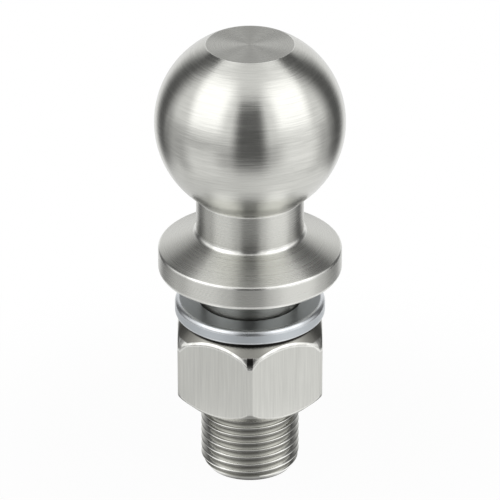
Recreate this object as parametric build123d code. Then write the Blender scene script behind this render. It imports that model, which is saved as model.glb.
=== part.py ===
from build123d import *
import math
import os

# A threaded tow ball: a turned ball stud with a flange and a long shank, a washer
# and a hexagon nut that clamp the stud to a drawbar.
# All sizes are in millimetres. The origin is the middle of the flange's seat, the flat
# underside that bears on the drawbar. +Z runs up the stud's axis to the ball, -Z down
# the shank. One corner of the nut points along -Y.

# Ball: its centre's height over the seat, and the flat turned on its crown
ball_diameter = 50.0
ball_centre_height = 43.0
ball_flat_diameter = 23.0

# Neck, with the fillets where it runs into the ball and into the flange
neck_diameter = 28.4
neck_ball_fillet = 1.2
neck_flange_fillet = 1.4

# Flange: a cylindrical rim under a cone that climbs to the neck
flange_diameter = 48.7
flange_rim_height = 6.6
flange_cone_angle = 26.0
flange_top_round = 0.8
flange_seat_round = 1.15

# Shank: the thread's crests lie on this diameter
shank_diameter = 26.4
shank_length = 58.6
shank_root_fillet = 0.5
shank_end_chamfer_width = 1.4
shank_end_chamfer_height = 2.2

# Room for the drawbar plate between the seat and the washer
clamp_gap = 8.6

# Washer: a ring this wide and this thick, with its bore loose on the shank
washer_bore_clearance = 0.4
washer_ring_width = 6.4
washer_thickness = 4.1
washer_top_round = 1.3
washer_bottom_round = 0.65

# Nut: each end is turned to a cone, whose width is measured at the middle of a flat,
# and the arcs that the cones leave over the flats are polished round
nut_across_flats = 38.5
nut_height = 24.1
nut_corner_round = 1.5
nut_top_cone_width = 2.0
nut_top_cone_angle = 46.5
nut_bottom_cone_width = 0.9
nut_bottom_cone_angle = 44.0
nut_arc_round = 1.0
nut_bore_clearance = 0.1
nut_countersink = 1.0

# Places that follow from the sizes above
ball_radius = ball_diameter / 2
neck_radius = neck_diameter / 2
flange_radius = flange_diameter / 2
shank_radius = shank_diameter / 2
washer_top_z = -clamp_gap
nut_top_z = washer_top_z - washer_thickness
nut_bottom_z = nut_top_z - nut_height


def rise(width, angle):
    """Height that a cone gains over a width, for its angle to the horizontal."""
    return width * math.tan(math.radians(angle))


def sphere_height(radius):
    """Height over the ball's centre at which the ball has this radius."""
    return math.sqrt(ball_radius**2 - radius**2)


def turned(profile):
    """Solid turned about Z from a closed profile in the XZ plane."""
    return revolve(profile, axis=Axis.Z)


def rounded(profile, corner, radius):
    """The profile with its vertex nearest to a corner rounded."""
    place = Plane.XZ.from_local_coords(Vector(*corner))
    vertex = profile.vertices().sort_by_distance(place)[0]
    return fillet(vertex, radius)


def stud_profile():
    """Half section of the stud, from the shank's end up to the crown."""
    end_radius = shank_radius - shank_end_chamfer_width
    chamfer_top = -shank_length + shank_end_chamfer_height
    cone_top = flange_rim_height + rise(flange_radius - neck_radius, flange_cone_angle)
    flat_radius = ball_flat_diameter / 2
    neck_top = ball_centre_height - sphere_height(neck_radius)
    crown = ball_centre_height + sphere_height(flat_radius)

    with BuildSketch(Plane.XZ) as section:
        with BuildLine():
            Polyline(
                (0, crown),
                (0, -shank_length),
                (end_radius, -shank_length),
                (shank_radius, chamfer_top),
                (shank_radius, 0),
                (flange_radius, 0),
                (flange_radius, flange_rim_height),
                (neck_radius, cone_top),
                (neck_radius, neck_top),
            )
            ThreePointArc(
                (neck_radius, neck_top),
                (ball_radius, ball_centre_height),
                (flat_radius, crown),
            )
            Line((flat_radius, crown), (0, crown))
        make_face()
    profile = section.sketch
    for corner, radius in (
        ((shank_radius, 0), shank_root_fillet),
        ((flange_radius, 0), flange_seat_round),
        ((flange_radius, flange_rim_height), flange_top_round),
        ((neck_radius, cone_top), neck_flange_fillet),
        ((neck_radius, neck_top), neck_ball_fillet),
    ):
        profile = rounded(profile, corner, radius)
    return profile


def ball_stud():
    """Ball, neck, flange and shank, turned from one bar."""
    return turned(stud_profile())


def washer():
    """Flat ring, well rounded on its upper rim."""
    bore_radius = shank_radius + washer_bore_clearance
    outer_radius = bore_radius + washer_ring_width
    bottom_z = washer_top_z - washer_thickness
    with BuildSketch(Plane.XZ) as section:
        with BuildLine():
            Polyline(
                (bore_radius, washer_top_z),
                (outer_radius, washer_top_z),
                (outer_radius, bottom_z),
                (bore_radius, bottom_z),
                close=True,
            )
        make_face()
    profile = rounded(section.sketch, (outer_radius, washer_top_z), washer_top_round)
    profile = rounded(profile, (outer_radius, bottom_z), washer_bottom_round)
    return turned(profile)


def nut_blank():
    """Hexagon bar with softened corners, one of them towards -Y."""
    with BuildPart() as blank:
        with BuildSketch(Plane.XY.offset(nut_bottom_z)):
            RegularPolygon(nut_across_flats / 2, 6, major_radius=False, rotation=30)
        extrude(amount=nut_height)
        fillet(blank.edges().filter_by(Axis.Z), nut_corner_round)
    return blank.part


def nut_envelope():
    """Turned shape that cuts the hexagon's corners back to cones at both ends."""
    corner_radius = nut_across_flats / math.sqrt(3)
    top_radius = nut_across_flats / 2 - nut_top_cone_width
    bottom_radius = nut_across_flats / 2 - nut_bottom_cone_width
    top_drop = rise(corner_radius - top_radius, nut_top_cone_angle)
    bottom_rise = rise(corner_radius - bottom_radius, nut_bottom_cone_angle)
    with BuildSketch(Plane.XZ) as section:
        with BuildLine():
            Polyline(
                (0, nut_top_z),
                (top_radius, nut_top_z),
                (corner_radius, nut_top_z - top_drop),
                (corner_radius, nut_bottom_z + bottom_rise),
                (bottom_radius, nut_bottom_z),
                (0, nut_bottom_z),
                close=True,
            )
        make_face()
    return turned(section.sketch)


def nut_bore():
    """Hole for the threaded shank, countersunk at both faces."""
    bore_radius = shank_radius + nut_bore_clearance
    mouth_radius = bore_radius + nut_countersink
    with BuildSketch(Plane.XZ) as section:
        with BuildLine():
            Polyline(
                (0, nut_top_z),
                (mouth_radius, nut_top_z),
                (bore_radius, nut_top_z - nut_countersink),
                (bore_radius, nut_bottom_z + nut_countersink),
                (mouth_radius, nut_bottom_z),
                (0, nut_bottom_z),
                close=True,
            )
        make_face()
    return turned(section.sketch)


def is_arc(edge):
    """True for an edge where an end cone cuts a flat or a softened corner."""
    return edge.geom_type in (GeomType.HYPERBOLA, GeomType.BSPLINE)


def hex_nut():
    """Hexagon nut, chamfered all round at both ends."""
    body = nut_blank() & nut_envelope()
    body = fillet(body.edges().filter_by(is_arc), nut_arc_round)
    return body - nut_bore()


os.makedirs("parts", exist_ok=True)
export_step(ball_stud(), "parts/ball_stud.step")
export_step(washer(), "parts/washer.step")
export_step(hex_nut(), "parts/hex_nut.step")
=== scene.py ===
from math import acos, atan2, ceil, cos, degrees, hypot, pi, radians, sin, sqrt, tan

import bmesh
import bpy
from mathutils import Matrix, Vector


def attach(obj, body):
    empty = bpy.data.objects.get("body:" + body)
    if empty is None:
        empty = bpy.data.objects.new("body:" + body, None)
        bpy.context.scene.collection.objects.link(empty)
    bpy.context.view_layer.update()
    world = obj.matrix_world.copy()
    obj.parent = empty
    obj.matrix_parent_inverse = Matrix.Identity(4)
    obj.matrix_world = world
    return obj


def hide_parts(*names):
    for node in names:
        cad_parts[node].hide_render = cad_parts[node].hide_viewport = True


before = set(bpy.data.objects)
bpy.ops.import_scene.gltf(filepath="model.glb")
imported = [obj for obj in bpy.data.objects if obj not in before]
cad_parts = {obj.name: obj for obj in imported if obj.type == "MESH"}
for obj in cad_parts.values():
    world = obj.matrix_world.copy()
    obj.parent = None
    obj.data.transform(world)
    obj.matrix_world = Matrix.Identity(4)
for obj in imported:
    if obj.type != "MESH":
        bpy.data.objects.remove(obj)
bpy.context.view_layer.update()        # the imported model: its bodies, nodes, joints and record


# The ball stud. One bar of bare steel, turned all over in one chucking: a ball with a
# flat on its crown, a plain neck, a flange with a conical top and a long shank. The
# finishing cut leaves fine rings, and the shank's thread is rolled on afterwards.
MM = 0.001
# Points in each ring of a turned piece, a multiple of 12 so that the nut's corners and
# the middles of its flats fall on them
COLUMNS = 144
# Sizes within this many mm, or angles within this many degrees, count as the same
SAME = 0.01

ball_radius = 25.0
ball_centre = 43.0
flat_radius = 11.5
flat_edge_round = 0.22
neck_radius = 14.2
neck_ball_fillet = 1.2
neck_flange_fillet = 1.4
flange_radius = 24.35
flange_rim_height = 6.6
flange_cone_angle = 26.0
flange_top_round = 0.8
flange_seat_round = 1.15
shank_radius = 13.2
shank_root_fillet = 0.5
shank_end = -58.6
shank_end_chamfer_width = 1.4
shank_end_chamfer_height = 2.2
shank_end_support = 0.4
ball_step = 1.5

# The flanks meet at 60 degrees, which makes the thread this share of its pitch deep
thread_pitch = 2.25
thread_depth = 0.541 * thread_pitch
thread_rounding = 0.13
thread_rows = 20
runout_slope = 0.7
nut_top = -12.7
# The thread starts this many pitches over the nut's top, inside the washer at rest
thread_lead_in = 1.3
thread_top = nut_top + thread_lead_in * thread_pitch

turned_steel_colour = (203, 203, 198)
worn_steel_colour = (228, 228, 224)
# The thread's steel is lighter than the bar's, a painted highlight on its crests, and darker
# towards its roots, painted shade
thread_crest_colour = (230, 230, 225)
thread_root_shade_colour = (70, 68, 63)
turned_steel_roughness = 0.28
polished_ball_roughness = 0.2
thread_roughness = 0.15


def rounded_outline(corners, closed=False, support=0.12, arc_step=13):
    """Points (radius, height, wear) of an outline in mm, whose corners (radius, height,
    round) are softened by arcs of at most arc_step degrees a step, with a supporting
    point at each end of an arc; wear is 1 on an arc and 0 elsewhere."""
    points = []
    count = len(corners)
    for place, (radius, height, softening) in enumerate(corners):
        if not closed and place in (0, count - 1) or softening == 0:
            points.append((radius, height, 0.0))
            continue
        arms, reaches = [], []
        for other in (corners[place - 1], corners[(place + 1) % count]):
            step = (other[0] - radius, other[1] - height)
            reach = hypot(*step)
            arms.append((step[0] / reach, step[1] / reach))
            reaches.append(reach)
        corner_angle = acos(arms[0][0] * arms[1][0] + arms[0][1] * arms[1][1])
        tangent = softening / tan(corner_angle / 2)
        middle = (arms[0][0] + arms[1][0], arms[0][1] + arms[1][1])
        out = softening / sin(corner_angle / 2) / hypot(*middle)
        centre = (radius + middle[0] * out, height + middle[1] * out)
        spokes = [
            (radius + arm[0] * tangent - centre[0], height + arm[1] * tangent - centre[1])
            for arm in arms
        ]
        turn = pi - corner_angle
        steps = max(3, ceil(turn / radians(arc_step)))
        if reaches[0] > tangent + 2 * support:
            points.append((radius + arms[0][0] * (tangent + support),
                           height + arms[0][1] * (tangent + support), 0.0))
        for number in range(steps + 1):
            share = number / steps
            near = sin((1 - share) * turn) / sin(turn)
            far = sin(share * turn) / sin(turn)
            points.append((
                centre[0] + spokes[0][0] * near + spokes[1][0] * far,
                centre[1] + spokes[0][1] * near + spokes[1][1] * far,
                1.0,
            ))
        if reaches[1] > tangent + 2 * support:
            points.append((radius + arms[1][0] * (tangent + support),
                           height + arms[1][1] * (tangent + support), 0.0))
    return points


def skinned_mesh(name, strips, closed=False):
    """Mesh from strips of rings. A ring is (points, along, wear, shade), its points in
    metres; a ring of one point closes a pole. Stores the other three for materials, the
    shade, a share of painted shade, as one value for the ring or as a list of them."""
    points, faces, along, wear, shade_share = [], [], [], [], []
    for rings in strips:
        starts = []
        for ring, ring_along, ring_wear, ring_shade_share in rings:
            starts.append((len(points), len(ring)))
            points += ring
            along += [ring_along] * len(ring)
            wear += [ring_wear] * len(ring)
            per_point = isinstance(ring_shade_share, list)
            shade_share += ring_shade_share if per_point else [ring_shade_share] * len(ring)
        pairs = list(zip(starts, starts[1:]))
        if closed:
            pairs.append((starts[-1], starts[0]))
        for (first, first_count), (second, second_count) in pairs:
            for column in range(COLUMNS):
                after = (column + 1) % COLUMNS
                corners = [
                    first + column % first_count,
                    first + after % first_count,
                    second + after % second_count,
                    second + column % second_count,
                ]
                faces.append(list(dict.fromkeys(corners)))
    mesh = bpy.data.meshes.new(name)
    mesh.from_pydata(points, [], faces)
    for label, values in (("along", along), ("wear", wear), ("shade_share", shade_share)):
        mesh.attributes.new(label, "FLOAT", "POINT").data.foreach_set("value", values)
    return mesh


def turned_rings(outline, shade_at=None):
    """Rings for skinned_mesh from an outline of (radius, height, wear) in mm; the last
    argument gives the share of painted shade at a radius and height, from 0 to 1."""
    rings, run, last = [], 0.0, outline[0]
    for radius, height, wear in outline:
        run += hypot(radius - last[0], height - last[1])
        last = (radius, height)
        angles = [
            2 * pi * column / COLUMNS for column in range(COLUMNS if radius else 1)]
        ring = [
            (radius * MM * cos(angle), radius * MM * sin(angle), height * MM)
            for angle in angles
        ]
        rings.append((ring, run * MM, wear, shade_at(radius, height) if shade_at else 0.0))
    return rings


def finish_mesh(mesh, sharp_angle=38, weld=1e-6, speck=1e-7):
    """Welds doubles, turns the faces outwards and shades them smooth between edges."""
    shape = bmesh.new()
    shape.from_mesh(mesh)
    bmesh.ops.remove_doubles(shape, verts=shape.verts, dist=weld)
    bmesh.ops.dissolve_degenerate(shape, edges=shape.edges, dist=speck)
    bmesh.ops.recalc_face_normals(shape, faces=shape.faces)
    shape.to_mesh(mesh)
    shape.free()
    mesh.shade_smooth()
    mesh.set_sharp_from_angle(angle=radians(sharp_angle))


def set_socket(tree, socket, value):
    """Links a socket to another, or gives it a plain value."""
    if isinstance(value, bpy.types.NodeSocket):
        tree.links.new(value, socket)
    else:
        socket.default_value = value


def reckon(tree, operation, *terms):
    """Output of a Math node on sockets or numbers."""
    made = tree.nodes.new("ShaderNodeMath")
    made.operation = operation
    for socket, term in zip(made.inputs, terms):
        set_socket(tree, socket, term)
    return made.outputs[0]


def placed(tree, kind, settings=None, **inputs):
    """A node of this kind, with its settings and its named inputs set or linked."""
    made = tree.nodes.new(kind)
    for name, value in (settings or {}).items():
        setattr(made, name, value)
    for name, value in inputs.items():
        set_socket(tree, made.inputs[name.replace("_", " ")], value)
    return made


def mixed(tree, kind, share, first, second):
    """Two numbers (kind FLOAT) or two colours (kind RGBA) mixed by a share."""
    made = placed(tree, "ShaderNodeMix", {"data_type": kind})
    places, result = {"FLOAT": ((0, 2, 3), 0), "RGBA": ((0, 6, 7), 2)}[kind]
    for place, value in zip(places, (share, first, second)):
        set_socket(tree, made.inputs[place], value)
    return made.outputs[result]


def store(tree, shape, label, value):
    """Geometry with a float attribute stored on its points."""
    kept = placed(tree, "GeometryNodeStoreNamedAttribute",
                  {"data_type": "FLOAT", "domain": "POINT"}, Geometry=shape, Name=label)
    set_socket(tree, kept.inputs["Value"], value)
    return kept.outputs["Geometry"]


def thread_tree():
    """Geometry Nodes tree for a screw thread: a sheet whose rows follow the helix is
    wound round Z, given the thread's profile and welded to the turned body."""
    tree = bpy.data.node_groups.new("Screw thread", "GeometryNodeTree")
    sockets = tree.interface
    sockets.new_socket("Geometry", in_out="INPUT", socket_type="NodeSocketGeometry")
    for label in ("Top", "Bottom", "Pitch", "Crest Radius", "Depth", "Rounding",
                  "Phase", "Top Mouth", "Top Slope", "Bottom Mouth", "Bottom Slope",
                  "End Radius", "End Slope"):
        sockets.new_socket(label, in_out="INPUT", socket_type="NodeSocketFloat")
    for label in ("Columns", "Rows"):
        sockets.new_socket(label, in_out="INPUT", socket_type="NodeSocketInt")
    sockets.new_socket("Material", in_out="INPUT", socket_type="NodeSocketMaterial")
    sockets.new_socket("Geometry", in_out="OUTPUT", socket_type="NodeSocketGeometry")
    given = tree.nodes.new("NodeGroupInput").outputs

    # The sheet: u runs once round the axis, turn counts pitches down from the top
    length = reckon(tree, "SUBTRACT", given["Top"], given["Bottom"])
    turns = reckon(tree, "ADD", reckon(
        tree, "CEIL", reckon(tree, "DIVIDE", length, given["Pitch"])), 1.0)
    grid = placed(
        tree, "GeometryNodeMeshGrid", Size_X=1.0, Size_Y=1.0,
        Vertices_X=reckon(tree, "ADD", given["Columns"], 1.0),
        Vertices_Y=reckon(tree, "MULTIPLY_ADD", turns, given["Rows"], 1.0))
    flat_place = placed(tree, "ShaderNodeSeparateXYZ",
                        Vector=tree.nodes.new("GeometryNodeInputPosition").outputs[0])
    u = reckon(tree, "ADD", flat_place.outputs["X"], 0.5)
    turn = reckon(tree, "MULTIPLY", reckon(
        tree, "SUBTRACT", 0.5, flat_place.outputs["Y"]), turns)
    helix_height = reckon(tree, "MULTIPLY_ADD", reckon(
        tree, "SUBTRACT", u, turn), given["Pitch"], given["Top"])
    height = reckon(tree, "MAXIMUM", reckon(
        tree, "MINIMUM", helix_height, given["Top"]), given["Bottom"])

    # The profile: 60 degree flanks between a flat crest and a wider flat root
    crest_share, flank_share = 1 / 16, 5 / 16
    from_crest = reckon(tree, "PINGPONG", reckon(tree, "ADD", turn, given["Phase"]), 0.5)
    down_flank = reckon(tree, "DIVIDE", reckon(
        tree, "SUBTRACT", from_crest, crest_share), flank_share)
    flank = reckon(tree, "SUBTRACT", given["Crest Radius"], reckon(
        tree, "MULTIPLY", down_flank, given["Depth"]))
    root = reckon(tree, "SUBTRACT", given["Crest Radius"], given["Depth"])
    profile = reckon(tree, "SMOOTH_MAX", reckon(
        tree, "SMOOTH_MIN", flank, given["Crest Radius"], given["Rounding"]),
        root, given["Rounding"])

    # Both ends: the run-out or countersink holds the radius up, the chamfer holds it in
    below_top = reckon(tree, "SUBTRACT", given["Top"], height)
    over_bottom = reckon(tree, "SUBTRACT", height, given["Bottom"])
    top_floor = reckon(tree, "SUBTRACT", given["Top Mouth"], reckon(
        tree, "MULTIPLY", given["Top Slope"], below_top))
    bottom_floor = reckon(tree, "SUBTRACT", given["Bottom Mouth"], reckon(
        tree, "MULTIPLY", given["Bottom Slope"], over_bottom))
    ceiling = reckon(
        tree, "MULTIPLY_ADD", given["End Slope"], over_bottom, given["End Radius"])
    radius = reckon(tree, "MINIMUM", reckon(tree, "MAXIMUM", profile, reckon(
        tree, "MAXIMUM", top_floor, bottom_floor)), ceiling)

    angle = reckon(tree, "MULTIPLY", u, 2 * pi)
    wound_place = placed(
        tree, "ShaderNodeCombineXYZ",
        X=reckon(tree, "MULTIPLY", radius, reckon(tree, "COSINE", angle)),
        Y=reckon(tree, "MULTIPLY", radius, reckon(tree, "SINE", angle)), Z=height)
    # How deep a point lies in the thread, from crest to root, is the share of painted shade in
    # its roots
    shade_share = reckon(tree, "DIVIDE", reckon(
        tree, "SUBTRACT", given["Crest Radius"], radius), given["Depth"])
    sheet = store(tree, grid.outputs["Mesh"], "shade_share", shade_share)
    sheet = store(tree, sheet, "along", helix_height)
    threaded = placed(tree, "GeometryNodeStoreNamedAttribute",
                      {"data_type": "BOOLEAN", "domain": "FACE"},
                      Geometry=sheet, Name="threaded")
    set_socket(tree, threaded.inputs["Value"], True)
    wound = placed(tree, "GeometryNodeSetPosition", Geometry=threaded.outputs[0],
                   Position=wound_place.outputs[0])

    # Rows that fell together at the ends go, and the thread joins the body's rings
    seam_weld = 2e-6
    joined = tree.nodes.new("GeometryNodeJoinGeometry")
    tree.links.new(wound.outputs[0], joined.inputs[0])
    tree.links.new(given["Geometry"], joined.inputs[0])
    welded = placed(tree, "GeometryNodeMergeByDistance", Geometry=joined.outputs[0],
                    Distance=seam_weld)
    real = placed(tree, "GeometryNodeRealizeInstances", Geometry=welded.outputs[0])
    is_thread = placed(tree, "GeometryNodeInputNamedAttribute",
                       {"data_type": "BOOLEAN"}, Name="threaded")
    finished = placed(tree, "GeometryNodeSetMaterial", Geometry=real.outputs[0],
                      Selection=is_thread.outputs["Attribute"],
                      Material=given["Material"])
    result = tree.nodes.new("NodeGroupOutput")
    tree.links.new(finished.outputs[0], result.inputs["Geometry"])
    return tree


def thread_on(piece, tree, **sizes):
    """Runs the thread's tree on a turned body and leaves a plain mesh."""
    cutter = piece.modifiers.new("Screw thread", "NODES")
    cutter.node_group = tree
    for socket in tree.interface.items_tree:
        label = socket.name.replace(" ", "_").lower()
        if socket.in_out == "INPUT" and label in sizes:
            cutter[socket.identifier] = sizes[label]
    bpy.context.view_layer.update()
    shaped = piece.evaluated_get(bpy.context.evaluated_depsgraph_get())
    mesh = bpy.data.meshes.new_from_object(shaped)
    piece.modifiers.remove(cutter)
    piece.data = mesh
    finish_mesh(mesh)


def piece_from(mesh, *materials):
    """Object in the scene that shows a mesh in these materials."""
    for material in materials:
        mesh.materials.append(material)
    piece = bpy.data.objects.new(mesh.name, mesh)
    bpy.context.scene.collection.objects.link(piece)
    return piece


def shade(red, green, blue):
    """Colour as a shader takes it, from the values 0 to 255 that a screen shows."""
    levels = [((level / 255 + 0.055) / 1.055) ** 2.4 for level in (red, green, blue)]
    return (*levels, 1.0)


def tool_mark_group():
    """Shader group for the marks a tool or belt leaves: two widths of streaks, as a
    height for the bump and as a tone from 0 to 1."""
    tree = bpy.data.node_groups.new("Tool marks", "ShaderNodeTree")
    sockets = tree.interface
    sockets.new_socket("Vector", in_out="INPUT", socket_type="NodeSocketVector")
    for label in ("Coarse Scale", "Fine Scale", "Fine Share"):
        sockets.new_socket(label, in_out="INPUT", socket_type="NodeSocketFloat")
    for label in ("Height", "Tone"):
        sockets.new_socket(label, in_out="OUTPUT", socket_type="NodeSocketFloat")
    given = tree.nodes.new("NodeGroupInput").outputs
    result = tree.nodes.new("NodeGroupOutput").inputs
    coarse = placed(tree, "ShaderNodeTexNoise", Vector=given["Vector"],
                    Scale=given["Coarse Scale"], Detail=3.0, Roughness=0.6)
    fine = placed(tree, "ShaderNodeTexNoise", Vector=given["Vector"],
                  Scale=given["Fine Scale"], Detail=2.0, Roughness=0.5)
    both = mixed(tree, "FLOAT", given["Fine Share"], coarse.outputs[0], fine.outputs[0])
    tone = placed(tree, "ShaderNodeMapRange", Value=both,
                  From_Min=0.3, From_Max=0.7, To_Min=0.0, To_Max=1.0)
    tree.links.new(both, result["Height"])
    tree.links.new(tone.outputs[0], result["Tone"])
    return tree


def edge_wear_group():
    """Shader group for handling wear: the rounded edges, broken up along their length."""
    tree = bpy.data.node_groups.new("Edge wear", "ShaderNodeTree")
    sockets = tree.interface
    sockets.new_socket("Edge", in_out="INPUT", socket_type="NodeSocketFloat")
    sockets.new_socket("Vector", in_out="INPUT", socket_type="NodeSocketVector")
    sockets.new_socket("Breakup Scale", in_out="INPUT", socket_type="NodeSocketFloat")
    sockets.new_socket("Mask", in_out="OUTPUT", socket_type="NodeSocketFloat")
    given = tree.nodes.new("NodeGroupInput").outputs
    result = tree.nodes.new("NodeGroupOutput").inputs
    breakup = placed(tree, "ShaderNodeTexNoise", Vector=given["Vector"],
                     Scale=given["Breakup Scale"], Detail=4.0)
    kept = placed(tree, "ShaderNodeMapRange", Value=breakup.outputs[0],
                  From_Min=0.35, From_Max=0.6, To_Min=0.55, To_Max=1.0)
    tree.links.new(reckon(tree, "MULTIPLY", given["Edge"], kept.outputs[0]), result["Mask"])
    return tree


TOOL_MARKS = tool_mark_group()
EDGE_WEAR = edge_wear_group()


def attribute(tree, label):
    """A piece's own float attribute, as a material reads it."""
    return placed(tree, "ShaderNodeAttribute", {"attribute_name": label}).outputs["Fac"]


def ring_vector(tree, place, spread=5.0, across=1000.0):
    """Vector that changes quickly along the outline and slowly round the axis."""
    parts = placed(tree, "ShaderNodeSeparateXYZ", Vector=place)
    return placed(
        tree, "ShaderNodeCombineXYZ",
        X=reckon(tree, "MULTIPLY", parts.outputs["X"], spread),
        Y=reckon(tree, "MULTIPLY", parts.outputs["Y"], spread),
        Z=reckon(tree, "MULTIPLY", attribute(tree, "along"), across)).outputs[0]


def metal(name, colour, worn, roughness, anisotropy, along_marks, vector, marks,
          bump, tone_spread, roughness_spread, recess_shade=None):
    """Bare or plated steel with the marks of its making. along_marks turns the streak of a
    reflection across the marks; marks are (coarse scale, fine scale, fine share), bump
    is (strength, height in mm) and the last is (colour, share, power) of the shade
    painted in grooves and beside other parts."""
    wear_breakup, cloud_scale = 350.0, 60.0
    streak_share, worn_smoothing = 0.7, 0.08
    material = bpy.data.materials.new(name)
    material.use_nodes = True
    tree = material.node_tree
    surface = tree.nodes["Principled BSDF"]
    place = placed(tree, "ShaderNodeTexCoord").outputs["Object"]
    streaks = placed(tree, "ShaderNodeGroup", {"node_tree": TOOL_MARKS},
                     Vector=vector(tree, place), Coarse_Scale=marks[0],
                     Fine_Scale=marks[1], Fine_Share=marks[2])
    worn_edges = placed(tree, "ShaderNodeGroup", {"node_tree": EDGE_WEAR},
                        Edge=attribute(tree, "wear"), Vector=place,
                        Breakup_Scale=wear_breakup)
    cloud = placed(tree, "ShaderNodeTexNoise", Vector=place, Scale=cloud_scale, Detail=3.0)

    # Colour: streaks and a faint cloudiness, brighter on worn edges, darker where shade is
    # painted in grooves and beside other parts
    plain = shade(*colour)[:3]
    dark = (*(level * (1 - tone_spread) for level in plain), 1.0)
    light = (*(min(1, level * (1 + tone_spread)) for level in plain), 1.0)
    uneven = reckon(tree, "MULTIPLY_ADD", streaks.outputs["Tone"], streak_share, reckon(
        tree, "MULTIPLY", cloud.outputs[0], 1 - streak_share))
    tint = mixed(tree, "RGBA", uneven, dark, light)
    tint = mixed(tree, "RGBA", worn_edges.outputs["Mask"], tint, shade(*worn))
    if recess_shade:
        deep = reckon(tree, "POWER", attribute(tree, "shade_share"), recess_shade[2])
        tint = mixed(tree, "RGBA", reckon(tree, "MULTIPLY", deep, recess_shade[1]),
                     tint, shade(*recess_shade[0]))
    tree.links.new(tint, surface.inputs["Base Color"])

    # Roughness follows the streaks, and worn edges are smoother
    dull = reckon(tree, "MULTIPLY_ADD", reckon(
        tree, "SUBTRACT", uneven, 0.5), roughness_spread, roughness)
    dull = reckon(tree, "SUBTRACT", dull, reckon(
        tree, "MULTIPLY", worn_edges.outputs["Mask"], worn_smoothing))
    tree.links.new(dull, surface.inputs["Roughness"])
    raised = placed(tree, "ShaderNodeBump", Strength=bump[0], Distance=bump[1] * MM,
                    Height=streaks.outputs["Height"])
    tree.links.new(raised.outputs[0], surface.inputs["Normal"])

    surface.inputs["Metallic"].default_value = 1.0
    surface.inputs["Anisotropic"].default_value = anisotropy
    surface.inputs["Anisotropic Rotation"].default_value = along_marks
    around = placed(tree, "ShaderNodeTangent", {"direction_type": "RADIAL", "axis": "Z"})
    tree.links.new(around.outputs[0], surface.inputs["Tangent"])
    return material


def broken_ring_vector(tree, place):
    """Like ring_vector, for rings that polishing has left only here and there."""
    return ring_vector(tree, place, spread=45.0)


ACROSS_RINGS = 0.25
turned_steel = metal(
    "turned steel", turned_steel_colour, worn_steel_colour, turned_steel_roughness,
    anisotropy=0.9, along_marks=ACROSS_RINGS, vector=ring_vector,
    marks=(1.9, 5.0, 0.45), bump=(0.26, 0.03), tone_spread=0.08, roughness_spread=0.1)
polished_ball = metal(
    "polished ball", turned_steel_colour, worn_steel_colour, polished_ball_roughness,
    anisotropy=0.88, along_marks=ACROSS_RINGS, vector=broken_ring_vector,
    marks=(1.7, 3.4, 0.4), bump=(0.6, 0.04), tone_spread=0.14, roughness_spread=0.1)
# Painted shade darkens the thread's roots
rolled_thread = metal(
    "rolled thread", thread_crest_colour, worn_steel_colour, thread_roughness,
    anisotropy=0.0, along_marks=ACROSS_RINGS, vector=ring_vector,
    marks=(1.0, 3.0, 0.4), bump=(0.15, 0.02), tone_spread=0.06, roughness_spread=0.08,
    recess_shade=(thread_root_shade_colour, 0.78, 1.5))

neck_top = ball_centre - sqrt(ball_radius**2 - neck_radius**2)
crown = ball_centre + sqrt(ball_radius**2 - flat_radius**2)
cone_top = flange_rim_height + (flange_radius - neck_radius) * tan(
    radians(flange_cone_angle))
crown_angle = acos((crown - ball_centre) / ball_radius)
neck_angle = acos((neck_top - ball_centre) / ball_radius)
ball_steps = ceil((neck_angle - crown_angle) / radians(ball_step))
ball_arc = [
    crown_angle + (neck_angle - crown_angle) * number / ball_steps
    for number in range(1, ball_steps)
]
stud_corners = [(0, crown, 0), (flat_radius, crown, flat_edge_round)]
stud_corners += [
    (ball_radius * sin(angle), ball_centre + ball_radius * cos(angle), 0)
    for angle in ball_arc
]
stud_corners += [
    (neck_radius, neck_top, neck_ball_fillet),
    (neck_radius, cone_top, neck_flange_fillet),
    (flange_radius, flange_rim_height, flange_top_round),
    (flange_radius, 0, flange_seat_round),
    (shank_radius, 0, shank_root_fillet),
    (shank_radius, thread_top, 0),
]
end_radius = shank_radius - shank_end_chamfer_width
stud_end = [
    (radius, shank_end, 0.0)
    for radius in (end_radius, end_radius - shank_end_support, 0)
]
stud_mesh = skinned_mesh("ball_stud_turned", [
    turned_rings(rounded_outline(stud_corners)),
    turned_rings(stud_end),
])
ball_stud = piece_from(stud_mesh, turned_steel, polished_ball)
for face in stud_mesh.polygons:
    if neck_top * MM < face.center.z < (crown - SAME) * MM:
        face.material_index = 1
SCREW_THREAD = thread_tree()
thread_on(
    ball_stud, SCREW_THREAD, top=thread_top * MM, bottom=shank_end * MM,
    pitch=thread_pitch * MM, crest_radius=shank_radius * MM, depth=thread_depth * MM,
    rounding=thread_rounding * MM, phase=0.0, top_mouth=shank_radius * MM,
    top_slope=runout_slope, bottom_mouth=0.0, bottom_slope=1.0,
    end_radius=end_radius * MM,
    end_slope=shank_end_chamfer_width / shank_end_chamfer_height,
    columns=COLUMNS, rows=thread_rows, material=rolled_thread)
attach(ball_stud, "stud")
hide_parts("ball_stud")


# The washer. A closed ring stamped from plate and tumbled, so its upper rim is well
# rounded, then plated with bright zinc, which gives it a bluish cast beside the bare
# steel. It slides on the shank with a loose bore and lies on the nut.
washer_bore_radius = 13.6
washer_ring_width = 6.4
washer_top = -8.6
washer_thickness = 4.1
washer_top_round = 1.3
washer_bottom_round = 0.65
washer_bore_round = 0.3
# Painted shade: a share of it on the washer's flat faces, and full at its lower rim beside the
# nut
washer_top_shade, washer_under_shade = 0.4, 0.5
washer_shade_margin = 0.7
shade_line_height, shade_line_fade = 0.5, 0.3

zinc_colour = (189, 194, 198)
worn_zinc_colour = (214, 217, 220)
zinc_roughness = 0.32
# Colour of the painted shade at the washer's lower rim and on the nut beside it
contact_shade_colour = (46, 44, 42)
contact_shade = (contact_shade_colour, 0.95, 1.0)

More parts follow.
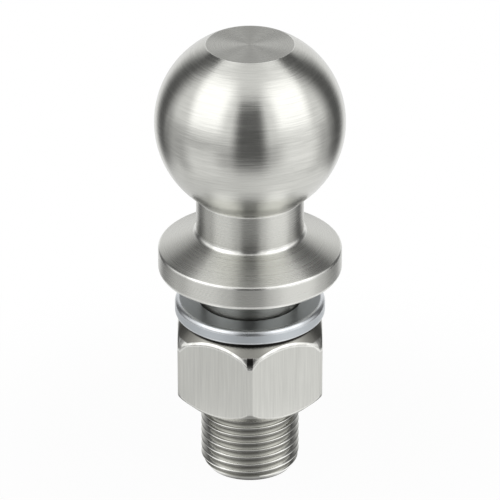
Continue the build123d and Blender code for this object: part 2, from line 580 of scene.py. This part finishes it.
bright_zinc = metal(
    "bright zinc", zinc_colour, worn_zinc_colour, zinc_roughness,
    anisotropy=0.5, along_marks=ACROSS_RINGS, vector=ring_vector,
    marks=(0.7, 3.0, 0.3), bump=(0.12, 0.02), tone_spread=0.04, roughness_spread=0.06,
    recess_shade=contact_shade)

washer_outer_radius = washer_bore_radius + washer_ring_width
washer_bottom = washer_top - washer_thickness
washer_corners = [
    (washer_bore_radius, washer_top, washer_bore_round),
    (washer_outer_radius, washer_top, washer_top_round),
    (washer_outer_radius, washer_bottom, washer_bottom_round),
    (washer_bore_radius, washer_bottom, washer_bore_round),
]


def washer_contact_shade(radius, height):
    """Painted shade: dark at the washer's lower rim beside the nut, and a share of it on its
    flat faces.
    """
    if height > washer_top - SAME:
        return washer_top_shade
    if height < washer_bottom + SAME and radius < washer_outer_radius - washer_shade_margin:
        return washer_under_shade
    held = (washer_bottom + shade_line_height - height) / shade_line_fade
    return max(0.0, min(1.0, held))


washer_mesh = skinned_mesh(
    "washer_ring",
    [turned_rings(rounded_outline(washer_corners, closed=True), washer_contact_shade)],
    closed=True)
finish_mesh(washer_mesh)
washer = piece_from(washer_mesh, bright_zinc)
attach(washer, "washer")
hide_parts("washer")


# The nut. Cut from hexagon bar and brushed lengthwise on its six flats, then chamfered
# by a turned cone at both faces, which leaves an arc over each flat. Its bore is
# countersunk and tapped with the same right-hand thread, one corner to the front.
nut_height = 24.1
nut_apothem = 19.25
nut_corner_round = 1.5
nut_top_circle = 17.25
nut_top_cone_angle = 46.5
nut_bottom_circle = 18.35
nut_bottom_cone_angle = 44.0
nut_arc_round = 1.5
nut_circle_round = 0.3
nut_bore_radius = 13.3
nut_countersink = 1.0
mouth_radius = nut_bore_radius + nut_countersink
corner_spacing = 60
half_flat = corner_spacing / 2
first_corner_angle = 30.0
front_corner_angle = 270.0
corner_steps = 4
corner_support = 0.35
land_bulge = 0.04
# The polishing rounds a corner's tip most within tip_reach degrees of the corner
tip_round = 4.5
tip_reach = 2.0
tip_fade = 2.0
# A flat's faces lean from the vertical by no more than this, as a share of the normal
flat_lean = 0.12

nut_colour = (205, 205, 200)
worn_nut_colour = (232, 232, 228)
chamfer_colour = (152, 151, 145)
brushed_roughness, chamfer_roughness = 0.34, 0.24
# Painted shade lies round the washer and in the corners' tips, most of it at the front
shade_depth = 3
shade_radius = 18.42
shade_fade = 0.23
tip_shade_depth = 5.9
side_corner_shade = 0.35
lower_arc_wear = 0.35


def bar_vector(tree, place):
    """Vector that changes quickly round the bar and slowly along it."""
    return placed(tree, "ShaderNodeMapping", Vector=place,
                  Scale=(900.0, 900.0, 22.0)).outputs[0]


brushed_flats = metal(
    "brushed flats", nut_colour, worn_nut_colour, brushed_roughness,
    anisotropy=0.6, along_marks=0.0, vector=bar_vector,
    marks=(1.5, 4.5, 0.5), bump=(0.35, 0.03), tone_spread=0.16, roughness_spread=0.14)
turned_chamfer = metal(
    "turned chamfer", chamfer_colour, worn_nut_colour, chamfer_roughness,
    anisotropy=0.5, along_marks=ACROSS_RINGS, vector=ring_vector,
    marks=(1.6, 5.0, 0.45), bump=(0.15, 0.02), tone_spread=0.05, roughness_spread=0.08,
    recess_shade=contact_shade)

corner_centre = (nut_apothem - nut_corner_round) / cos(radians(half_flat))
corner_tangent = degrees(atan2(
    nut_corner_round * sin(radians(half_flat)),
    corner_centre + nut_corner_round * cos(radians(half_flat))))


def corner_angles(steps):
    """Angles from a corner to the middle of a flat, crowded round the corner."""
    fan = [corner_tangent * step / corner_steps for step in range(corner_steps + 1)]
    last = corner_tangent + corner_support
    rest = steps - corner_steps - 1
    return fan + [last] + [
        last + (half_flat - last) * (step + 1) / rest for step in range(rest)]


def bar_radius(angle):
    """Radius of the hexagon bar, its corners broken by a narrow land that is almost
    flat, at an angle from a corner."""
    if abs(angle) < corner_tangent:
        edge = nut_apothem / cos(radians(half_flat - corner_tangent))
        bulge = land_bulge * (1 - (angle / corner_tangent) ** 2)
        return edge * cos(radians(corner_tangent)) / cos(radians(angle)) + bulge
    return nut_apothem / cos(radians(half_flat - abs(angle)))


def arc_round(angle):
    """Rounding between a cone and the bar: the polishing takes more off a corner."""
    near = max(0.0, min(1.0, 1 - (abs(angle) - tip_reach) / tip_fade))
    return nut_arc_round + (tip_round - nut_arc_round) * near


def in_painted_shade(radius, height):
    """True where shade is painted: on the nut's top face and on the ring of its upper cone
    beside the washer.
    """
    return height > nut_top - shade_depth and radius < shade_radius + SAME


def nut_columns():
    """Columns of the nut's outside, each as its even angle round the bore, its own angle,
    the painted shade that its corner holds and its outline from the top mouth to the bottom."""
    half = corner_angles(round(COLUMNS * half_flat / 360))
    top_fall = tan(radians(nut_top_cone_angle))
    bottom_rise = tan(radians(nut_bottom_cone_angle))
    nut_bottom = nut_top - nut_height
    shade_end = nut_top - (shade_radius - nut_top_circle) * top_fall
    columns = []
    for column in range(COLUMNS):
        even_angle = 360 * column / COLUMNS
        nearest = first_corner_angle + corner_spacing * round(
            (even_angle - first_corner_angle) / corner_spacing)
        offset = round((even_angle - nearest) * COLUMNS / 360)
        aside = half[abs(offset)] * (1 if offset > 0 else -1)
        reach = bar_radius(aside)
        outline = rounded_outline([
            (mouth_radius, nut_top, 0),
            (nut_top_circle, nut_top, nut_circle_round),
            (shade_radius, shade_end, 0),
            (shade_radius + shade_fade, shade_end - shade_fade * top_fall, 0),
            (reach, nut_top - (reach - nut_top_circle) * top_fall, arc_round(aside)),
            (reach, nut_bottom + (reach - nut_bottom_circle) * bottom_rise,
             arc_round(aside) / 2),
            (nut_bottom_circle, nut_bottom, nut_circle_round),
            (mouth_radius, nut_bottom, 0),
        ])
        # Painted shade in the corners' tips, full at the front corner
        held = 1.0 if nearest % 360 == front_corner_angle else side_corner_shade
        columns.append((radians(even_angle), radians(nearest + aside),
                        held * (abs(aside) < corner_tangent + SAME), outline))
    return columns


def nut_rings():
    """Rings for skinned_mesh of the nut's outside, from the mouth of its bore at the top
    to the one at the bottom, which run round the columns."""
    columns = nut_columns()
    first_outline = columns[0][3]
    last = len(first_outline) - 1
    rings = []
    for number, (ring_radius, ring_height, ring_wear) in enumerate(first_outline):
        ring, ring_shades = [], []
        for even, angle, corner_shade, outline in columns:
            radius, height, wear = outline[number]
            turned = even if number in (0, last) else angle
            ring.append((radius * MM * cos(turned), radius * MM * sin(turned), height * MM))
            # Painted shade: full beside the washer, and in the corners' tips near the top
            notched = max(0.0, min(1.0, height - nut_top + tip_shade_depth))
            in_tip = wear * corner_shade * notched
            ring_shades.append(1.0 if in_painted_shade(radius, height) else in_tip)
        if ring_height < nut_top - nut_height / 2:
            ring_wear *= lower_arc_wear
        if in_painted_shade(ring_radius, ring_height):
            ring_wear = 0.0
        rings.append((ring, ring_height * MM, ring_wear, ring_shades))
    return rings


nut_mesh = skinned_mesh("hex_nut_bar", [nut_rings()])
hex_nut = piece_from(nut_mesh, turned_chamfer, brushed_flats)
for face in nut_mesh.polygons:
    if abs(face.normal.z) < flat_lean:
        face.material_index = 1
thread_on(
    hex_nut, SCREW_THREAD, top=nut_top * MM, bottom=(nut_top - nut_height) * MM,
    pitch=thread_pitch * MM, crest_radius=nut_bore_radius * MM,
    depth=thread_depth * MM, rounding=thread_rounding * MM, phase=thread_lead_in,
    top_mouth=mouth_radius * MM, top_slope=1.0, bottom_mouth=mouth_radius * MM,
    bottom_slope=1.0, end_radius=2 * mouth_radius * MM, end_slope=0.0,
    columns=COLUMNS, rows=thread_rows, material=rolled_thread)
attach(hex_nut, "nut")
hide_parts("hex_nut")


# The studio. A round white table top carries the stud on its shank's end, in a white
# room. Curved boards with soft rims stand round it, seen only in the steel: bright ones
# at the front quarters, dark ones behind the camera and at the rear quarters.
table_radius = 0.12
table_grey = (0.92, 0.92, 0.92, 1.0)
table_lit_share = 0.045
# Shares of the table's radius where its near part ends, its far part starts, and where
# its shadow has faded
table_near_end, table_far_start, table_shadow_end = 0.4, 0.5, 0.97
# As the steel mirrors it, the table is darker to the left, painted shade
table_left_level, table_right_level = 0.82, 1.0
# Brightness of the near part of the table as the steel mirrors it, by the angle from
# the front in degrees
table_near_levels = (
    (0, 0.56), (14, 0.6), (28, 0.92), (45, 1.4), (65, 1.55), (76, 1.0), (90, 0.44),
    (106, 0.34), (120, 0.6), (144, 1.2), (180, 1.1))
room_radius = 2.0
room_level = 0.5
board_cells = 12
board_spacing = 0.01
# Each board: azimuth, elevation and roll, half width and half height in degrees as seen
# from the stud, brightness, and the shares of it across and up that are even, before it
# fades to nothing at its rim. A board stands in front of the ones below it in this list.
boards = (
    ("low_front_board", 0, -55, 0, 50, 30, 1.0, 0.3, 0.25),
    ("front_board", 0, -3, 0, 26, 57, 0.13, 0.4, 0.82),
    ("left_dark_board", -129, 9, 0, 30, 52, 0.12, 0.08, 0.6),
    ("right_dark_board", 126, 9, 0, 30, 52, 0.12, 0.12, 0.6),
    ("left_rear_board", -145, 46, 0, 21, 15, 0.07, 0.3, 0.35),
    ("right_rear_board", 145, 46, 0, 22, 15, 0.05, 0.35, 0.35),
    ("back_board", 180, 28, 0, 9, 50, 0.45, 0.3, 0.8),
    ("left_high_board", -130, 68, 0, 12, 10, 1.2, 0.2, 0.2),
    ("right_high_board", 130, 68, 0, 12, 10, 1.2, 0.2, 0.2),
    ("left_bright_board", -62, 36, 13, 29, 34, 1.8, 0.45, 0.6),
    ("right_bright_board", 62, 36, -13, 29, 34, 1.8, 0.45, 0.42),
    ("left_low_board", -60, -30, 0, 28, 20, 1.0, 0.3, 0.5),
    ("right_low_board", 62, -22, 0, 34, 22, 1.15, 0.3, 0.6),
    ("left_base_board", -60, -24, 0, 56, 24, 0.5, 0.8, 0.8),
    ("right_base_board", 60, -24, 0, 56, 24, 0.55, 0.8, 0.8),
    ("top_base_board", 180, 78, 0, 34, 34, 0.97, 0.6, 0.6),
    ("rear_base_board", 180, 16, 0, 54, 42, 0.95, 0.7, 0.8),
)
lamp_places = ((-58.0, 40.0), (58.0, 40.0))
lamp_distance = 1.2
lamp_size = 0.7
lamp_level = 1.2


def seen_white(tree):
    """1 for the rays that show the white room: the camera's, mirrored and passed on."""
    rays = tree.nodes.new("ShaderNodeLightPath").outputs
    return reckon(tree, "MAXIMUM", rays["Is Camera Ray"], reckon(
        tree, "MAXIMUM", rays["Is Glossy Ray"], rays["Is Transmission Ray"]))


def room_point(azimuth, elevation, distance):
    """Place in the room; azimuth 0 is the camera's side, elevation is over the horizon."""
    level = distance * cos(radians(elevation))
    return (level * sin(radians(azimuth)), -level * cos(radians(azimuth)),
            distance * sin(radians(elevation)))


def stage_material(name):
    """Empty material for the studio, its tree and the socket that shows a shader."""
    material = bpy.data.materials.new(name)
    material.use_nodes = True
    tree = material.node_tree
    tree.nodes.remove(tree.nodes["Principled BSDF"])
    return material, tree, tree.nodes["Material Output"].inputs["Surface"]


def show_mix(tree, surface, share, first, second):
    """Shows two shaders mixed by a share."""
    mix = placed(tree, "ShaderNodeMixShader", Fac=share)
    tree.links.new(first.outputs[0], mix.inputs[1])
    tree.links.new(second.outputs[0], mix.inputs[2])
    tree.links.new(mix.outputs[0], surface)


table_white, table_tree, table_surface = stage_material("white table")
table_place = placed(table_tree, "ShaderNodeTexCoord").outputs["Object"]
table_side = placed(table_tree, "ShaderNodeSeparateXYZ", Vector=table_place)
table_reach = reckon(table_tree, "SQRT", reckon(
    table_tree, "ADD", reckon(table_tree, "POWER", table_side.outputs["X"], 2.0),
    reckon(table_tree, "POWER", table_side.outputs["Y"], 2.0)))
table_fade = placed(
    table_tree, "ShaderNodeMapRange", {"interpolation_type": "SMOOTHSTEP"},
    Value=table_reach, From_Min=table_near_end * table_radius,
    From_Max=table_shadow_end * table_radius, To_Min=1 - table_lit_share, To_Max=1.0)
table_level = placed(
    table_tree, "ShaderNodeMapRange", Value=table_side.outputs["X"],
    From_Min=-table_near_end * table_radius, From_Max=table_near_end * table_radius,
    To_Min=table_left_level, To_Max=table_right_level)
from_front = reckon(
    table_tree, "DIVIDE", reckon(
        table_tree, "ARCTAN2", reckon(table_tree, "ABSOLUTE", table_side.outputs["X"]),
        reckon(table_tree, "MULTIPLY", table_side.outputs["Y"], -1.0)), pi)
near_level = placed(table_tree, "ShaderNodeValToRGB", Fac=from_front)
near_ramp = near_level.color_ramp
near_ramp.interpolation = "EASE"
near_ramp.elements.remove(near_ramp.elements[1])
for place, (angle, level) in enumerate(table_near_levels):
    stop = near_ramp.elements.new(angle / 180) if place else near_ramp.elements[0]
    stop.position, stop.color = angle / 180, (level, level, level, 1.0)
far_share = placed(
    table_tree, "ShaderNodeMapRange", {"interpolation_type": "SMOOTHSTEP"},
    Value=table_reach, From_Min=table_near_end * table_radius,
    From_Max=table_far_start * table_radius)
mirrored_level = mixed(
    table_tree, "FLOAT", far_share.outputs[0], near_level.outputs["Color"], 1.0)
mirrored = table_tree.nodes.new("ShaderNodeLightPath").outputs["Is Glossy Ray"]
show_mix(
    table_tree, table_surface,
    reckon(table_tree, "MULTIPLY", seen_white(table_tree), table_fade.outputs[0]),
    placed(table_tree, "ShaderNodeBsdfDiffuse", Color=table_grey),
    placed(table_tree, "ShaderNodeEmission", Strength=reckon(
        table_tree, "MULTIPLY_ADD", mirrored, reckon(
            table_tree, "MULTIPLY_ADD", table_level.outputs[0],
            mirrored_level, -1.0), 1.0)))

table_outline = [
    (share * table_radius / MM, shank_end, 0.0) for share in (0.0, 0.25, 0.5, 0.75, 1.0)]
table_top = piece_from(
    skinned_mesh("table_top", [turned_rings(table_outline)]), table_white)


def graded_board(number, name, azimuth, elevation, roll, half_width, half_height,
                 brightness, even_across, even_up):
    """Curved board that faces the stud, glows evenly and fades to nothing at its rim."""
    middle = Vector(room_point(azimuth, elevation, 1.0))
    level = Vector((cos(radians(azimuth)), sin(radians(azimuth)), 0.0))
    rise = middle.cross(level)
    turned = radians(roll)
    width = (level * cos(turned) + rise * sin(turned)) * tan(radians(half_width))
    height = (rise * cos(turned) - level * sin(turned)) * tan(radians(half_height))
    points, faces, fades = [], [], []
    for row in range(board_cells + 1):
        for column in range(board_cells + 1):
            up, aside = 2 * row / board_cells - 1, 2 * column / board_cells - 1
            direction = (middle + width * aside + height * up).normalized()
            points.append(direction * (room_radius + board_spacing * number))
            fades.append(max(0.0, (abs(aside) - even_across) / (1 - even_across),
                             (abs(up) - even_up) / (1 - even_up)))
            if row and column:
                corner = row * (board_cells + 1) + column
                below = corner - board_cells - 1
                faces.append((corner, corner - 1, below - 1, below))
    mesh = bpy.data.meshes.new(name)
    mesh.from_pydata(points, [], faces)
    mesh.attributes.new("fade", "FLOAT", "POINT").data.foreach_set("value", fades)
    material, tree, surface = stage_material(name)
    fade = placed(tree, "ShaderNodeMapRange", {"interpolation_type": "SMOOTHSTEP"},
                  Value=attribute(tree, "fade"))
    show_mix(tree, surface, fade.outputs[0],
             placed(tree, "ShaderNodeEmission", Strength=brightness),
             tree.nodes.new("ShaderNodeBsdfTransparent"))
    board = piece_from(mesh, material)
    board.visible_camera = False
    board.visible_diffuse = False
    board.visible_shadow = False


for number, board in enumerate(boards):
    graded_board(number, *board)

for number, (azimuth, elevation) in enumerate(lamp_places):
    lamp = bpy.data.lights.new(f"soft_lamp_{number}", "AREA")
    lamp.size = lamp_size
    lamp.energy = lamp_level * pi * lamp_size**2
    soft_lamp = bpy.data.objects.new(lamp.name, lamp)
    soft_lamp.location = room_point(azimuth, elevation, lamp_distance)
    soft_lamp.rotation_euler = (radians(90 - elevation), 0, radians(azimuth))
    soft_lamp.visible_camera = False
    soft_lamp.visible_glossy = False
    bpy.context.scene.collection.objects.link(soft_lamp)

room = bpy.data.worlds.new("white room")
room.use_nodes = True
room_tree = room.node_tree
room_tree.links.new(
    reckon(room_tree, "MULTIPLY_ADD", seen_white(room_tree), 1 - room_level, room_level),
    room_tree.nodes["Background"].inputs["Strength"])
room_tree.nodes["Background"].inputs["Color"].default_value = (1.0, 1.0, 1.0, 1.0)
bpy.context.scene.world = room

# The camera stands where the photograph was taken from: in front of the nut's corner,
# looking down on the ball through a long lens.
camera_place = (0.0, -0.9577, 0.5104)
camera_tilt = 62.19
camera_lens = 294.6

lens = bpy.data.cameras.new("camera")
lens.sensor_width = 36.0
lens.lens = camera_lens
camera = bpy.data.objects.new("camera", lens)
camera.location = camera_place
camera.rotation_euler = (radians(camera_tilt), 0.0, 0.0)
bpy.context.scene.collection.objects.link(camera)
bpy.context.scene.camera = camera
bpy.context.scene.view_settings.view_transform = "Standard"
